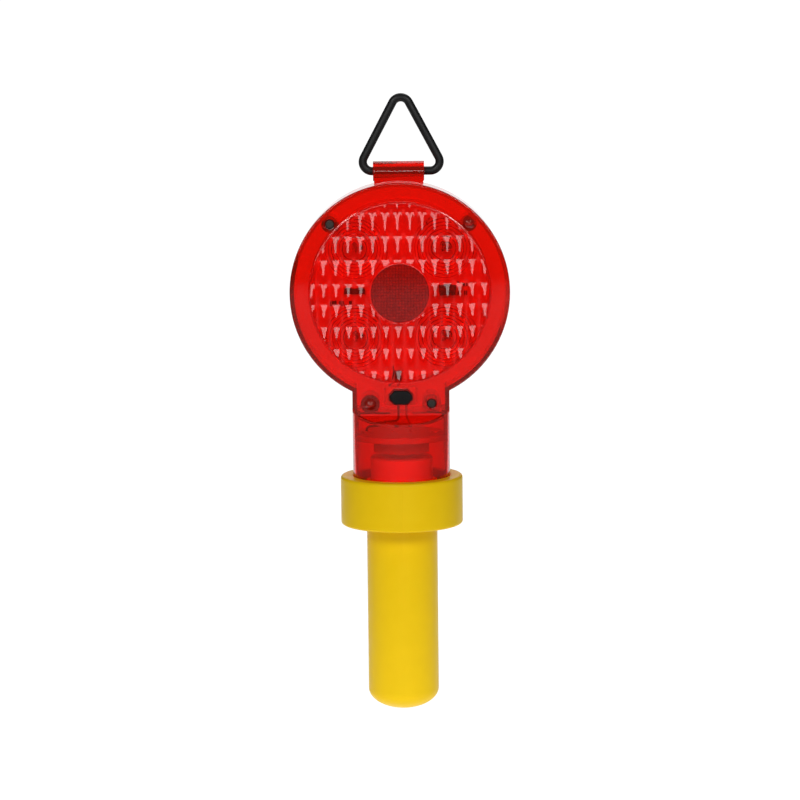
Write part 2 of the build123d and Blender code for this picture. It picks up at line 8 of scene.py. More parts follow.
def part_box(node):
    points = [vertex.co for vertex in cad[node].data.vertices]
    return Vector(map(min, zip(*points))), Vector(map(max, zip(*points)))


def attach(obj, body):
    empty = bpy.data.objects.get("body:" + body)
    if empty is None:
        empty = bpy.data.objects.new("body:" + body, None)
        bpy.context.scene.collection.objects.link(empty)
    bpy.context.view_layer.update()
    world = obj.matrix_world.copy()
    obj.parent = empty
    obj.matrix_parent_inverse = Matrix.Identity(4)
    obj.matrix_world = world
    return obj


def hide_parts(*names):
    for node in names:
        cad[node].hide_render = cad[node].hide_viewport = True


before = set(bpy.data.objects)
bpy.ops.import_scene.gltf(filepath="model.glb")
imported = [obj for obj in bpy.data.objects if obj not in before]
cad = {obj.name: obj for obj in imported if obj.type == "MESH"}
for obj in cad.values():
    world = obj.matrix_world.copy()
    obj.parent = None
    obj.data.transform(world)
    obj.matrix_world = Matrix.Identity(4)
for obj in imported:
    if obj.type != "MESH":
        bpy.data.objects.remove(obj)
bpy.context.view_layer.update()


# ---------------------------------------------------------------- Studio
# A white glowing sheet, narrow in front, lies under the lamp on a grey floor and turns up far
# behind it. Two lamps stand high in front, and a wide soft box stands low behind the camera.

camera_height = 0.4118
camera_distance = 1.707
camera_side = -0.0005
aim_height = 0.1724
lens_mm = 141.0
lean = radians(-0.6)

cam = bpy.data.objects.new("camera", bpy.data.cameras.new("camera"))
bpy.context.collection.objects.link(cam)
cam.location = (camera_side, -camera_distance, camera_height)
aim = Vector((camera_side, 0, aim_height)) - cam.location
cam.rotation_mode = "QUATERNION"
cam.rotation_quaternion = aim.to_track_quat("-Z", "Y") @ Matrix.Rotation(lean, 3, "Z").to_quaternion()
cam.data.lens = lens_mm
cam.data.sensor_width = 36.0
cam.data.clip_start = 0.05
cam.data.clip_end = 30.0
bpy.context.scene.camera = cam


def soft_box(name, place, toward, width, height, power):
    """Rectangular area lamp at a place, facing a point."""
    lamp = bpy.data.lights.new(name, "AREA")
    lamp.shape = "RECTANGLE"
    lamp.size = width
    lamp.size_y = height
    lamp.energy = power
    box = bpy.data.objects.new(name, lamp)
    bpy.context.collection.objects.link(box)
    box.location = place
    box.rotation_mode = "QUATERNION"
    box.rotation_quaternion = (Vector(toward) - Vector(place)).to_track_quat("-Z", "Y")


middle = (0, 0, 0.19)
soft_box("left_key", (-0.75, -1.5, 1.05), middle, 0.4, 0.4, 10.2)
soft_box("right_key", (0.75, -1.5, 1.05), middle, 0.4, 0.4, 9.2)
soft_box("low_front", (0, -2.4, 0.37), (0, 0, 0.23), 1.7, 0.34, 8.0)
soft_box("overhead", (0, 0.5, 1.3), middle, 1.0, 0.6, 3.0)

sheet_front_half, sheet_back_half = 0.36, 1.3
sheet_start, sheet_end = -0.22, 4.0
sheet_z, floor_z = -0.0004, -0.004
turn_r = 1.0
wall_height = 5.0
floor_half = 6.0
near = 0.01

sheet_bm = bmesh.new()
bmesh.ops.create_grid(sheet_bm, x_segments=1, y_segments=1, size=1.0)
for v in sheet_bm.verts:
    far = v.co.y > 0
    v.co = Vector((v.co.x * (sheet_back_half if far else sheet_front_half),
                   sheet_end if far else sheet_start, sheet_z))
far_edge = [e for e in sheet_bm.edges if all(v.co.y > sheet_end - near for v in e.verts)]
bmesh.ops.spin(sheet_bm, geom=far_edge, cent=(0, sheet_end, turn_r), axis=(1, 0, 0), dvec=(0, 0, 0),
               angle=pi / 2, steps=16, use_merge=False, use_duplicate=False)
top_edge = [e for e in sheet_bm.edges if all(v.co.z > turn_r - near for v in e.verts)]
lifted = bmesh.ops.extrude_edge_only(sheet_bm, edges=top_edge)
bmesh.ops.translate(sheet_bm, vec=(0, 0, wall_height),
                    verts=[v for v in lifted["geom"] if isinstance(v, bmesh.types.BMVert)])
bmesh.ops.recalc_face_normals(sheet_bm, faces=sheet_bm.faces)
backdrop_mesh = bpy.data.meshes.new("backdrop")
sheet_bm.to_mesh(backdrop_mesh)
sheet_bm.free()
backdrop_mesh.shade_smooth()
backdrop = bpy.data.objects.new("backdrop", backdrop_mesh)
bpy.context.collection.objects.link(backdrop)

floor_bm = bmesh.new()
bmesh.ops.create_grid(floor_bm, x_segments=1, y_segments=1, size=floor_half)
bmesh.ops.translate(floor_bm, vec=(0, 0, floor_z), verts=floor_bm.verts)
floor_mesh = bpy.data.meshes.new("studio_floor")
floor_bm.to_mesh(floor_mesh)
floor_bm.free()
studio_floor = bpy.data.objects.new("studio_floor", floor_mesh)
bpy.context.collection.objects.link(studio_floor)

grey = bpy.data.materials.new("grey_floor")
grey.use_nodes = True
grey_shader = grey.node_tree.nodes["Principled BSDF"]
grey_shader.inputs["Base Color"].default_value = (0.35, 0.35, 0.35, 1)
grey_shader.inputs["Roughness"].default_value = 0.9
grey_shader.inputs["Specular IOR Level"].default_value = 0.05
floor_mesh.materials.append(grey)

paper = bpy.data.materials.new("paper_sheet")
paper.use_nodes = True
paper_shader = paper.node_tree.nodes["Principled BSDF"]
paper_shader.inputs["Base Color"].default_value = (0.2, 0.2, 0.2, 1)
paper_shader.inputs["Roughness"].default_value = 0.9
paper_shader.inputs["Specular IOR Level"].default_value = 0.1
paper_shader.inputs["Emission Color"].default_value = (1, 1, 1, 1)
paper_shader.inputs["Emission Strength"].default_value = 1.0
backdrop_mesh.materials.append(paper)

world = bpy.data.worlds.new("studio_air")
bpy.context.scene.world = world
world.use_nodes = True
world.node_tree.nodes["Background"].inputs["Color"].default_value = (1, 1, 1, 1)
world.node_tree.nodes["Background"].inputs["Strength"].default_value = 0.08
bpy.context.scene.view_settings.view_transform = "Standard"


# ---------------------------------------------------------------- Handle
# Yellow polypropylene, moulded in one piece: 39 mm tube with a domed end and the 67 mm collar
# with its ribs. Satin skin, a faint parting line down the front and back of the tube.


def new_finish(name, colour, roughness, metallic=0.0):
    """Material with its Principled shader's plain values set."""
    finish = bpy.data.materials.new(name)
    finish.use_nodes = True
    shader = finish.node_tree.nodes["Principled BSDF"]
    shader.inputs["Base Color"].default_value = (*colour, 1)
    shader.inputs["Roughness"].default_value = roughness
    shader.inputs["Metallic"].default_value = metallic
    return finish, shader


def add_node(finish, kind, **values):
    """Node of a kind, with input sockets set by name."""
    node = finish.node_tree.nodes.new(kind)
    for socket, value in values.items():
        node.inputs[socket.replace("_", " ")].default_value = value
    return node


def add_grain(finish, shader, scale, depth, rough_low, rough_high):
    """Bump of a given depth and patchy roughness; returns the coordinate, patch and bump nodes."""
    link = finish.node_tree.links.new
    place = add_node(finish, "ShaderNodeTexCoord")
    noise = add_node(finish, "ShaderNodeTexNoise", Scale=scale, Detail=5.0, Roughness=0.6)
    link(place.outputs["Object"], noise.inputs["Vector"])
    patches = add_node(finish, "ShaderNodeTexNoise", Scale=scale * 0.08, Detail=3.0)
    link(place.outputs["Object"], patches.inputs["Vector"])
    spread = add_node(finish, "ShaderNodeMapRange", From_Min=0.3, From_Max=0.7,
                      To_Min=rough_low, To_Max=rough_high)
    link(patches.outputs["Fac"], spread.inputs["Value"])
    link(spread.outputs["Result"], shader.inputs["Roughness"])
    bump = add_node(finish, "ShaderNodeBump", Strength=1.0, Distance=depth)
    link(noise.outputs["Fac"], bump.inputs["Height"])
    link(bump.outputs["Normal"], shader.inputs["Normal"])
    return place, patches, bump


def two_tone(finish, shader, fac, low, high):
    """Base colour that runs from low to high as fac goes from 0 to 1."""
    mix = finish.node_tree.nodes.new("ShaderNodeMix")
    mix.data_type = "RGBA"
    mix.inputs["A"].default_value = (*low, 1)
    mix.inputs["B"].default_value = (*high, 1)
    finish.node_tree.links.new(fac, mix.inputs["Factor"])
    finish.node_tree.links.new(mix.outputs["Result"], shader.inputs["Base Color"])


def mottle(finish, shader, scale, depth, rough_low, rough_high, low, high):
    """Grain over the object, with a base colour that drifts between two tones."""
    patches = add_grain(finish, shader, scale, depth, rough_low, rough_high)[1]
    two_tone(finish, shader, patches.outputs["Fac"], low, high)


def dress(finish, *nodes):
    """Gives CAD nodes one material."""
    for name in nodes:
        cad[name].data.materials.clear()
        cad[name].data.materials.append(finish)


yellow, yellow_shader = new_finish("yellow_moulding", (0.84, 0.55, 0.002), 0.38)
yellow_shader.inputs["Specular IOR Level"].default_value = 0.12
yellow_shader.inputs["Subsurface Weight"].default_value = 0.08
yellow_shader.inputs["Subsurface Radius"].default_value = (0.004, 0.002, 0.0003)
yellow_shader.inputs["Subsurface Scale"].default_value = 0.6
place, patches, bump = add_grain(yellow, yellow_shader, 1500.0, 0.000012, 0.33, 0.45)
two_tone(yellow, yellow_shader, patches.outputs["Fac"], (0.82, 0.53, 0.002), (0.87, 0.57, 0.003))
split = add_node(yellow, "ShaderNodeSeparateXYZ")
yellow.node_tree.links.new(place.outputs["Object"], split.inputs["Vector"])
side = add_node(yellow, "ShaderNodeMath")
side.operation = "ABSOLUTE"
yellow.node_tree.links.new(split.outputs["X"], side.inputs[0])
seam = add_node(yellow, "ShaderNodeMapRange", From_Min=0.0, From_Max=0.0005, To_Min=1.0, To_Max=0.0)
yellow.node_tree.links.new(side.outputs["Value"], seam.inputs["Value"])
seam_bump = add_node(yellow, "ShaderNodeBump", Strength=0.7, Distance=0.00006)
yellow.node_tree.links.new(seam.outputs["Result"], seam_bump.inputs["Height"])
yellow.node_tree.links.new(bump.outputs["Normal"], seam_bump.inputs["Normal"])
yellow.node_tree.links.new(seam_bump.outputs["Normal"], yellow_shader.inputs["Normal"])
dress(yellow, "handle_body")


# ---------------------------------------------------------------- Batteries and their spring
# Two D cells, 34.2 by 61.5 mm: plain ends, a charcoal label, a thin bronze line, a pale top.
# A nickel-plated plate and coil sit under them, and a plated strip runs up to the ring contact.

for name in ("battery_lower", "battery_upper"):
    low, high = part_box(name)
    can, can_shader = new_finish(name + "_can", (0.5, 0.5, 0.5), 0.3)
    place = add_grain(can, can_shader, 900.0, 0.000006, 0.24, 0.36)[0]
    split = add_node(can, "ShaderNodeSeparateXYZ")
    can.node_tree.links.new(place.outputs["Object"], split.inputs["Vector"])
    along = add_node(can, "ShaderNodeMapRange", From_Min=low.z, From_Max=high.z)
    can.node_tree.links.new(split.outputs["Z"], along.inputs["Value"])
    bands = can.node_tree.nodes.new("ShaderNodeValToRGB")
    bands.color_ramp.interpolation = "CONSTANT"
    bands.color_ramp.elements[0].color = (0.55, 0.55, 0.56, 1)
    bands.color_ramp.elements[1].position = 0.96
    bands.color_ramp.elements[1].color = (0.6, 0.6, 0.61, 1)
    for spot, colour in ((0.025, (0.02, 0.022, 0.03, 1)), (0.66, (0.45, 0.3, 0.08, 1)),
                         (0.69, (0.88, 0.86, 0.85, 1))):
        bands.color_ramp.elements.new(spot).color = colour
    can.node_tree.links.new(along.outputs["Result"], bands.inputs["Fac"])
    can.node_tree.links.new(bands.outputs["Color"], can_shader.inputs["Base Color"])
    dress(can, name)

plated, plated_shader = new_finish("nickel_plate", (0.72, 0.7, 0.66), 0.28, 1.0)
add_grain(plated, plated_shader, 2600.0, 0.000005, 0.2, 0.36)
dress(plated, "spring_plate", "earth_strip", "positive_contact", "ring_contact")

coil_steel, coil_shader = new_finish("spring_wire", (0.62, 0.61, 0.59), 0.3, 1.0)
add_grain(coil_steel, coil_shader, 3200.0, 0.000006, 0.22, 0.4)
dress(coil_steel, "battery_spring", "switch_spring")


# ---------------------------------------------------------------- Neck seal, carrier and rivets
# Black rubber ring in the neck's groove, pale grey carrier plate across the neck, and brass
# rivets that hold the leaf and the ring contact.

rubber, rubber_shader = new_finish("black_rubber", (0.02, 0.02, 0.02), 0.75)
mottle(rubber, rubber_shader, 2200.0, 0.00002, 0.65, 0.85,
       (0.014, 0.014, 0.014), (0.03, 0.03, 0.03))
dress(rubber, "neck_seal")

carrier, carrier_shader = new_finish("carrier_plastic", (0.5, 0.48, 0.46), 0.5)
mottle(carrier, carrier_shader, 1600.0, 0.000012, 0.42, 0.58,
       (0.45, 0.43, 0.41), (0.56, 0.54, 0.52))
dress(carrier, "contact_carrier")

brass, brass_shader = new_finish("brass_rivet", (0.72, 0.55, 0.28), 0.3, 1.0)
mottle(brass, brass_shader, 3000.0, 0.000006, 0.22, 0.4, (0.66, 0.49, 0.24), (0.76, 0.6, 0.33))
dress(brass, "contact_rivets", "switch_terminals")


# ---------------------------------------------------------------- Lamp shells
# Two halves of clear red acrylic, walls 2.2 to 2.4 mm thick: 120 mm disc, throat, threaded
# neck and the loop for the ring. Polished, with a slight flow ripple under the gloss.


def clear_red(name, ripple, ripple_scale, rough_low, rough_high, tint, haze, soak, density):
    """Clear red plastic: refracting, a little hazy, absorbing by depth, open to the lamps' rays."""
    finish, shader = new_finish(name, tint, rough_low)
    shader.inputs["Transmission Weight"].default_value = 1.0 - haze
    shader.inputs["IOR"].default_value = 1.49
    add_grain(finish, shader, ripple_scale, ripple, rough_low, rough_high)
    nodes = finish.node_tree.nodes
    link = finish.node_tree.links.new
    output = nodes["Material Output"]
    clear = nodes.new("ShaderNodeBsdfTransparent")
    clear.inputs["Color"].default_value = tuple(c ** 0.5 for c in tint) + (1,)
    path = nodes.new("ShaderNodeLightPath")
    mix = nodes.new("ShaderNodeMixShader")
    link(path.outputs["Is Shadow Ray"], mix.inputs["Fac"])
    link(shader.outputs["BSDF"], mix.inputs[1])
    link(clear.outputs["BSDF"], mix.inputs[2])
    link(mix.outputs["Shader"], output.inputs["Surface"])
    depth = nodes.new("ShaderNodeVolumeAbsorption")
    depth.inputs["Color"].default_value = (*soak, 1)
    depth.inputs["Density"].default_value = density
    link(depth.outputs["Volume"], output.inputs["Volume"])
    return finish


shell_red = clear_red("clear_red_shell", 0.00001, 70.0, 0.02, 0.05, (0.93, 0.04, 0.008), 0.13,
                      (0.97, 0.45, 0.0), 1000.0)
dress(shell_red, "front_shell", "rear_shell")


# ---------------------------------------------------------------- Lenses
# Red acrylic discs, 99.6 mm across. The outer face has 15 columns of flutes 6.75 mm wide in
# nine rows: each flute is shallow at the top of its row and swells 1 mm by the bottom. The
# back has four sets of ring prisms over the lamps and a floor behind the middle reflector.


def combine(base, tool, how):
    """Boolean of two closed meshes."""
    one = bpy.data.objects.new("one", base)
    two = bpy.data.objects.new("two", tool)
    for part in (one, two):
        bpy.context.collection.objects.link(part)
    step = one.modifiers.new("step", "BOOLEAN")
    step.operation = how
    step.solver = "EXACT"
    step.object = two
    graph = bpy.context.evaluated_depsgraph_get()
    graph.update()
    result = bpy.data.meshes.new_from_object(one.evaluated_get(graph))
    for part in (one, two):
        bpy.data.objects.remove(part)
    return result


def spun(outline, centre, steps=96):
    """Closed solid turned about the Y direction through centre, from (radius, y) points."""
    bm = bmesh.new()
    rim = [bm.verts.new((centre.x + r, y, centre.z)) for r, y in outline]
    edges = [bm.edges.new((rim[i], rim[i + 1])) for i in range(len(rim) - 1)]
    if outline[0][0] > 0:
        edges.append(bm.edges.new((rim[-1], rim[0])))
    bmesh.ops.spin(bm, geom=edges, cent=centre, axis=(0, 1, 0), angle=2 * pi, steps=steps,
                   use_merge=True, use_duplicate=False)
    bmesh.ops.remove_doubles(bm, verts=bm.verts, dist=0.000001)
    bmesh.ops.recalc_face_normals(bm, faces=bm.faces)
    mesh = bpy.data.meshes.new("spun")
    bm.to_mesh(mesh)
    bm.free()
    return mesh


def fluted_slab(centre, half, front, back, pitch, first_x, rows, swell, lip):
    """Slab with the fluted face towards -Y and a flat back."""
    columns = []
    across_steps, down_steps = 10, 8
    row_share = 0.985
    start = -int((half + first_x) / pitch) - 1
    for n in range(start, -start + 1):
        for k in range(across_steps):
            u = k / across_steps - 0.5
            columns.append((centre.x + first_x + (n + u) * pitch, cos(pi * u) ** 2))
    lines = []
    for top, bottom in zip(rows, rows[1:]):
        for k in range(down_steps):
            v = k / (down_steps - 1)
            fall = 1 - (1 - v) ** 2
            lines.append((centre.z + top + (bottom - top) * row_share * v, lip + (1 - lip) * fall))
    bm = bmesh.new()
    face = [[bm.verts.new((x, front - swell * down * across, z)) for x, across in columns]
            for z, down in lines]
    floor = [[bm.verts.new((x, back, z)) for x, across in columns] for z, down in lines]
    for i in range(len(lines) - 1):
        for j in range(len(columns) - 1):
            bm.faces.new((face[i][j], face[i][j + 1], face[i + 1][j + 1], face[i + 1][j]))
            bm.faces.new((floor[i][j], floor[i + 1][j], floor[i + 1][j + 1], floor[i][j + 1]))
    last_i, last_j = len(lines) - 1, len(columns) - 1
    for i in range(last_i):
        for j in (0, last_j):
            bm.faces.new((face[i][j], face[i + 1][j], floor[i + 1][j], floor[i][j]))
    for j in range(last_j):
        for i in (0, last_i):
            bm.faces.new((face[i][j], face[i][j + 1], floor[i][j + 1], floor[i][j]))
    bmesh.ops.recalc_face_normals(bm, faces=bm.faces)
    mesh = bpy.data.meshes.new("slab")
    bm.to_mesh(mesh)
    bm.free()
    return mesh


low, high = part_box("front_lens")
lens_mid = Vector(((low.x + high.x) / 2, 0, (low.z + high.z) / 2))
lens_r = (high.x - low.x) / 2
lens_front, lens_back = low.y, high.y
spigot_r = lens_r - 0.0024
window_r = lens_r - 0.0012
pocket_r = (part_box("front_reflex")[1].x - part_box("front_reflex")[0].x) / 2 + 0.0001
pocket_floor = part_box("front_reflex")[1].y
shell_face = lens_front + 0.0015
row_tops = [0.0569, 0.044, 0.0311, 0.0182, 0.0053, -0.006, -0.0182, -0.0304, -0.0426, -0.0548]
flute_pitch, flute_swell, flute_lip = 0.00675, 0.001, 0.25
slab = fluted_slab(lens_mid, 0.052, lens_front + 0.00105, lens_back, flute_pitch, -0.001, row_tops,
                   flute_swell, flute_lip)
led_out = 0.0243
led_mid = [(sx * led_out, lens_mid.z + sz * led_out) for sx in (-1, 1) for sz in (-1, 1)]
ring_count, first_ring_r, ring_pitch = 6, 0.0064, 0.0019
for x, z in led_mid:
    teeth = [(0.0062, lens_back - 0.0001)]
    for k in range(ring_count):
        r = first_ring_r + ring_pitch * k
        teeth += [(r, lens_back + 0.0001), (r + 0.0003, lens_back + 0.0007),
                  (r + 0.0018, lens_back + 0.0001)]
    teeth.append((teeth[-1][0] + 0.0002, lens_back - 0.0001))
    slab = combine(slab, spun(teeth, Vector((x, 0, z)), 64), "UNION")
trim = spun([(0, lens_front - 0.002), (lens_r - 0.001, lens_front - 0.002),
             (lens_r - 0.001, shell_face - 0.00005), (spigot_r, shell_face - 0.00005),
             (spigot_r, lens_back + 0.002), (0, lens_back + 0.002)], lens_mid)
slab = combine(slab, trim, "INTERSECT")
pocket = spun([(0, lens_front - 0.002), (pocket_r, lens_front - 0.002), (pocket_r, pocket_floor),
               (0, pocket_floor)], lens_mid, 64)
slab = combine(slab, pocket, "DIFFERENCE")
collar = spun([(pocket_r, lens_front + 0.0002), (pocket_r + 0.0002, lens_front),
               (pocket_r + 0.0006, lens_front), (pocket_r + 0.0009, lens_front + 0.0003),
               (pocket_r + 0.0009, lens_back - 0.0001), (pocket_r, lens_back - 0.0001)], lens_mid, 64)
slab = combine(slab, collar, "UNION")
rim = spun([(window_r, lens_front + 0.0003), (window_r + 0.0003, lens_front),
            (lens_r - 0.0005, lens_front), (lens_r - 0.00015, lens_front + 0.00015),
            (lens_r, lens_front + 0.0005), (lens_r, shell_face - 0.00005),
            (window_r, shell_face - 0.00005)], lens_mid)
lens_mesh = combine(slab, rim, "UNION")
lens_mesh.shade_smooth()
lens_mesh.set_sharp_from_angle(angle=radians(32))
lens_mesh.materials.clear()
lens_red = clear_red("clear_red_lens", 0.000006, 90.0, 0.03, 0.06, (0.88, 0.05, 0.015), 0.06,
                     (0.95, 0.4, 0.0), 1200.0)
lens_mesh.materials.append(lens_red)
for name, turn in (("front", 0.0), ("rear", pi)):
    mesh = lens_mesh if turn == 0 else lens_mesh.copy()
    mesh.transform(Matrix.Rotation(turn, 4, "Z"))
    piece = bpy.data.objects.new(name + "_fluted_lens", mesh)
    bpy.context.collection.objects.link(piece)
    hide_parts(name + "_lens")
    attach(piece, "lamp")


# ---------------------------------------------------------------- Middle reflectors
# Deep red reflector discs, 31.8 mm across and 1.1 mm thick: flat in front, with pyramids
# 1.6 mm wide and 0.5 mm high on the back.

front_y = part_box("front_reflex")[0].y
back_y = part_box("front_reflex")[1].y
disc_r = (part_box("front_reflex")[1].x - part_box("front_reflex")[0].x) / 2
cells = 21
prism_w, prism_h = 0.0016, 0.0005
bm = bmesh.new()
bmesh.ops.create_grid(bm, x_segments=cells, y_segments=cells, size=cells * prism_w / 2)
poked = bmesh.ops.poke(bm, faces=bm.faces, offset=0)
for v in poked["verts"]:
    v.co.z = prism_h
bmesh.ops.rotate(bm, verts=bm.verts, cent=(0, 0, 0), matrix=Matrix.Rotation(pi / 2, 3, "X"))
bmesh.ops.rotate(bm, verts=bm.verts, cent=(0, 0, 0), matrix=Matrix.Rotation(radians(22), 3, "Y"))
tips = min(v.co.y for v in bm.verts) < -0.0001
for v in bm.verts:
    v.co.y = (-v.co.y if tips else v.co.y) + back_y - prism_h
    v.co.z += lens_mid.z
rim_edges = [e for e in bm.edges if e.is_boundary]
grown = bmesh.ops.extrude_edge_only(bm, edges=rim_edges)
new_verts = [v for v in grown["geom"] if isinstance(v, bmesh.types.BMVert)]
for v in new_verts:
    v.co.y = front_y - 0.001
bmesh.ops.holes_fill(bm, edges=[e for e in bm.edges if e.is_boundary], sides=0)
bmesh.ops.recalc_face_normals(bm, faces=bm.faces)
prisms = bpy.data.meshes.new("prisms")
bm.to_mesh(prisms)
bm.free()
cutter = spun([(0, front_y), (disc_r - 0.0002, front_y), (disc_r, front_y + 0.0002),
               (disc_r, back_y + 0.001), (0, back_y + 0.001)], lens_mid, 72)
reflex_mesh = combine(prisms, cutter, "INTERSECT")
reflex_mesh.materials.clear()
prism_red = clear_red("clear_red_reflex", 0.000003, 200.0, 0.03, 0.06, (0.62, 0.02, 0.01), 0.25,
                      (0.9, 0.2, 0.0), 2500.0)
# Painted highlights and shade: a cell pattern of bright spots on dark borders in the base colour
# stands in for the light the prisms send back.
painted_prism_glints = add_node(prism_red, "ShaderNodeTexVoronoi", Scale=620.0, Randomness=0.25)
prism_red.node_tree.links.new(prism_red.node_tree.nodes["Texture Coordinate"].outputs["Object"],
                              painted_prism_glints.inputs["Vector"])
two_tone(prism_red, prism_red.node_tree.nodes["Principled BSDF"], painted_prism_glints.outputs["Distance"],
         (0.9, 0.03, 0.015), (0.1, 0.002, 0.001))
reflex_mesh.materials.append(prism_red)
for name, turn in (("front", 0.0), ("rear", pi)):
    mesh = reflex_mesh if turn == 0 else reflex_mesh.copy()
    mesh.transform(Matrix.Rotation(turn, 4, "Z"))
    piece = bpy.data.objects.new(name + "_prism_disc", mesh)
    bpy.context.collection.objects.link(piece)
    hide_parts(name + "_reflex")
    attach(piece, "lamp")


# ---------------------------------------------------------------- Lamps on the board
# Eight 5 mm dome lamps, four a side, in clear resin: flanged foot, metal cup and post inside,
# and two square legs through the board.

resin, resin_shader = new_finish("clear_resin", (0.96, 0.93, 0.9), 0.04)
resin_shader.inputs["Transmission Weight"].default_value = 1.0
resin_shader.inputs["IOR"].default_value = 1.5
add_grain(resin, resin_shader, 300.0, 0.000003, 0.03, 0.06)
tinned, tinned_shader = new_finish("tinned_lead", (0.7, 0.69, 0.67), 0.3, 1.0)
mottle(tinned, tinned_shader, 2800.0, 0.000005, 0.22, 0.4, (0.64, 0.63, 0.61), (0.76, 0.75, 0.73))


def add_block(bm, low, high, index, matrix=Matrix.Identity(4)):
    """Box between two corners with one material index."""
    made = bmesh.ops.create_cube(bm, size=1.0)
    size = Vector(high) - Vector(low)
    mid = (Vector(high) + Vector(low)) / 2
    for v in made["verts"]:
        v.co = matrix @ (Vector((v.co.x * size.x, v.co.y * size.y, v.co.z * size.z)) + mid)
    for face in {f for v in made["verts"] for f in v.link_faces}:
        face.material_index = index


def add_turned(bm, outline, index, matrix, steps=24):
    """Closed turned solid about local Y, from (radius, y) points, with one material index."""
    before = set(bm.faces)
    rim = [bm.verts.new((r, y, 0)) for r, y in outline]
    edges = [bm.edges.new((rim[i], rim[i + 1])) for i in range(len(rim) - 1)]
    bmesh.ops.spin(bm, geom=edges, cent=(0, 0, 0), axis=(0, 1, 0), angle=2 * pi, steps=steps,
                   use_merge=True, use_duplicate=False)
    faces = [f for f in bm.faces if f not in before]
    verts = list({v for f in faces for v in f.verts})
    bmesh.ops.remove_doubles(bm, verts=verts, dist=0.000001)
    faces = [f for f in bm.faces if f not in before]
    for face in faces:
        face.material_index = index
        face.smooth = True
    bmesh.ops.recalc_face_normals(bm, faces=faces)
    for v in {v for f in faces for v in f.verts}:
        v.co = matrix @ v.co


for name, turn, twist in (("front", 0.0, 0.0), ("rear", pi, pi / 2)):
    low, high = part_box("front_leds")
    bm = bmesh.new()
    foot = -0.002
    tip = low.y
    for x, z in led_mid:
        here = Matrix.Translation((x, 0, z))
        dome = [(0, tip)]
        for k in range(1, 7):
            a = pi / 2 * k / 6
            dome.append((0.0025 * sin(a), tip + 0.0025 * (1 - cos(a))))
        dome += [(0.0025, foot - 0.001), (0.0029, foot - 0.001), (0.0029, foot), (0, foot)]
        add_turned(bm, dome, 0, here)
        cup = [(0, foot - 0.0034), (0.0004, foot - 0.0034), (0.0010, foot - 0.0040),
               (0.0011, foot - 0.0040), (0.0008, foot - 0.0030), (0.0005, foot - 0.0026),
               (0, foot - 0.0026)]
        add_turned(bm, cup, 1, here @ Matrix.Translation((-0.0006, 0, 0)), 16)
        legs = here @ Matrix.Rotation(twist, 4, "Y")
        for side in (-1, 1):
            leg_x, post_x = side * 0.00127, side * 0.00127 * 0.6
            add_block(bm, (leg_x - 0.00025, foot + 0.00002, -0.00025),
                      (leg_x + 0.00025, 0.0014, 0.00025), 1, legs)
            add_block(bm, (post_x - 0.0003, foot - 0.0027, -0.00025),
                      (post_x + 0.0003, foot - 0.0001, 0.00025), 1, legs)
    mesh = bpy.data.meshes.new(name + "_lamps")
    bm.to_mesh(mesh)
    bm.free()
    mesh.transform(Matrix.Rotation(turn, 4, "Z"))
    mesh.materials.append(resin)
    mesh.materials.append(tinned)
    piece = bpy.data.objects.new(name + "_dome_lamps", mesh)
    bpy.context.collection.objects.link(piece)
    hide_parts(name + "_leds")
    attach(piece, "lamp")


# ---------------------------------------------------------------- Board and its small parts
# White board, 98.8 mm across and 1.6 mm thick, with faint copper tracks under the mask. On its
# front: a chip with eight legs, a can capacitor, eight resistors and a black banded diode.

mask, mask_shader = new_finish("white_mask", (0.85, 0.85, 0.83), 0.35)
place = add_grain(mask, mask_shader, 1800.0, 0.000006, 0.3, 0.42)[0]
tracks = add_node(mask, "ShaderNodeTexVoronoi", Scale=160.0)
tracks.distance = "MANHATTAN"
tracks.feature = "F1"
mask.node_tree.links.new(place.outputs["Object"], tracks.inputs["Vector"])
lines = add_node(mask, "ShaderNodeMapRange", From_Min=0.42, From_Max=0.46)
mask.node_tree.links.new(tracks.outputs["Distance"], lines.inputs["Value"])
two_tone(mask, mask_shader, lines.outputs["Result"], (0.86, 0.86, 0.84), (0.74, 0.76, 0.70))
dress(mask, "led_board")

moulded, moulded_shader = new_finish("chip_black", (0.02, 0.02, 0.02), 0.5)
mottle(moulded, moulded_shader, 2400.0, 0.00001, 0.42, 0.6,
       (0.015, 0.015, 0.016), (0.035, 0.035, 0.036))
sleeve, sleeve_shader = new_finish("can_sleeve", (0.03, 0.04, 0.09), 0.35)
mottle(sleeve, sleeve_shader, 1200.0, 0.000006, 0.28, 0.42, (0.02, 0.03, 0.08), (0.04, 0.05, 0.11))
top_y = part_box("led_board")[0].y
bm = bmesh.new()
add_block(bm, (-0.0290, top_y - 0.0016, lens_mid.z - 0.0015),
          (-0.0202, top_y - 0.0003, lens_mid.z + 0.0015), 0)
for k in range(4):
    x = -0.0279 + 0.0022 * k
    for s in (-1, 1):
        add_block(bm, (x - 0.0002, top_y - 0.0009, lens_mid.z + min(s * 0.0014, s * 0.002)),
                  (x + 0.0002, top_y, lens_mid.z + max(s * 0.0014, s * 0.002)), 2)
can_matrix = (Matrix.Translation((0.026, top_y - 0.00305, lens_mid.z + 0.0005))
              @ Matrix.Rotation(pi / 2, 4, "Z"))
add_turned(bm, [(0, -0.0055), (0.0026, -0.0055), (0.003, -0.0051), (0.003, -0.0042), (0.0027, -0.0039),
                (0.003, -0.0036), (0.003, 0.0051), (0.0027, 0.0054)], 1, can_matrix)
add_turned(bm, [(0, 0.0053), (0.0027, 0.0053), (0.0027, 0.0055), (0, 0.0055)], 2, can_matrix)
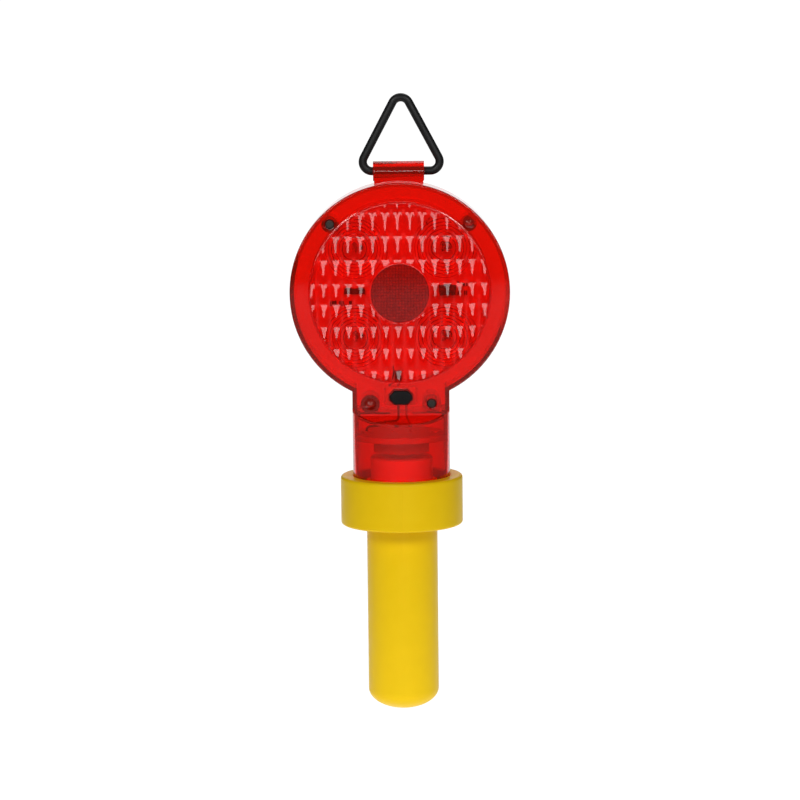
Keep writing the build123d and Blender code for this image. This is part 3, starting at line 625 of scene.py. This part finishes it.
for k in range(4):
    for x, z in ((-0.0372 + 0.0026 * k, -0.0064),
                 (0.0343 + 0.0026 * (k % 2), -0.0014 + 0.005 * (k // 2))):
        z += lens_mid.z
        add_block(bm, (x - 0.0008, top_y - 0.0006, z - 0.0012), (x + 0.0008, top_y, z + 0.0012), 0)
        for s in (-1, 1):
            add_block(bm, (x - 0.0008, top_y - 0.0006, z + min(s * 0.0012, s * 0.0016)),
                      (x + 0.0008, top_y, z + max(s * 0.0012, s * 0.0016)), 2)
diode_matrix = (Matrix.Translation((0.016, top_y - 0.0014, lens_mid.z + 0.0375))
                @ Matrix.Rotation(pi / 4, 4, "Y") @ Matrix.Rotation(pi / 2, 4, "X"))
add_turned(bm, [(0, -0.0026), (0.001, -0.0026), (0.00135, -0.0022), (0.00135, 0.0022),
                (0.001, 0.0026), (0, 0.0026)], 0, diode_matrix)
add_turned(bm, [(0.00135, 0.0010), (0.00138, 0.0010), (0.00138, 0.0017), (0.00135, 0.0017)], 2,
           diode_matrix)
mesh = bpy.data.meshes.new("board_parts")
bm.to_mesh(mesh)
bm.free()
for finish in (moulded, sleeve, tinned):
    mesh.materials.append(finish)
piece = bpy.data.objects.new("board_parts", mesh)
bpy.context.collection.objects.link(piece)
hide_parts("board_components")
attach(piece, "lamp")

solder, solder_shader = new_finish("solder_joint", (0.7, 0.7, 0.69), 0.25, 1.0)
mottle(solder, solder_shader, 2500.0, 0.00002, 0.18, 0.34, (0.64, 0.64, 0.63), (0.76, 0.76, 0.75))
dress(solder, "solder_pads")


# ---------------------------------------------------------------- Switch and button
# Pale nylon switch case behind the front face, and the eight-sided black button that stands
# 1.8 mm proud of it, with a fine spark-eroded grain.

satin, satin_shader = new_finish("black_satin", (0.012, 0.012, 0.012), 0.42)
satin_shader.inputs["Specular IOR Level"].default_value = 0.05
mottle(satin, satin_shader, 2600.0, 0.000004, 0.36, 0.5,
       (0.009, 0.009, 0.009), (0.017, 0.017, 0.018))
dress(satin, "switch_button")

nylon, nylon_shader = new_finish("switch_case", (0.75, 0.73, 0.7), 0.45)
mottle(nylon, nylon_shader, 1800.0, 0.000008, 0.38, 0.52, (0.71, 0.69, 0.66), (0.79, 0.77, 0.74))
dress(nylon, "switch_body")


# ---------------------------------------------------------------- Leads
# Insulated leads 1.3 mm thick: red from the leaf to the switch, black to the board from the
# switch and from the ring contact.

for colour, name, nodes in (((0.35, 0.015, 0.012), "red_lead", ("wire_positive",)),
                            ((0.014, 0.014, 0.015), "black_lead", ("wire_switch", "wire_negative"))):
    lead, lead_shader = new_finish(name, colour, 0.45)
    mottle(lead, lead_shader, 2000.0, 0.00001, 0.38, 0.52, tuple(c * 0.8 for c in colour),
           tuple(c * 1.2 for c in colour))
    dress(lead, *nodes)


# ---------------------------------------------------------------- Screws
# Four self-tapping screws with cross slots, two driven from each side, in dulled zinc darkened with
# painted shade.

# Painted shade: the zinc colour is made near black, standing in for the shade in the screws' deep
# holes.
zinc, zinc_shader = new_finish("zinc_with_painted_shade", (0.05, 0.045, 0.04), 0.45, 1.0)
mottle(zinc, zinc_shader, 2200.0, 0.000006, 0.38, 0.55, (0.035, 0.031, 0.027), (0.08, 0.074, 0.066))
dress(zinc, "front_screws", "rear_screws")


# ---------------------------------------------------------------- Hanging ring
# Steel wire 4.6 mm thick, bent to a triangle with rounded corners and coated satin black.

coat, coat_shader = new_finish("black_coating", (0.011, 0.011, 0.011), 0.34)
coat_shader.inputs["Specular IOR Level"].default_value = 0.22
mottle(coat, coat_shader, 1400.0, 0.000005, 0.3, 0.42, (0.008, 0.008, 0.008), (0.015, 0.015, 0.016))
dress(coat, "hanging_ring")
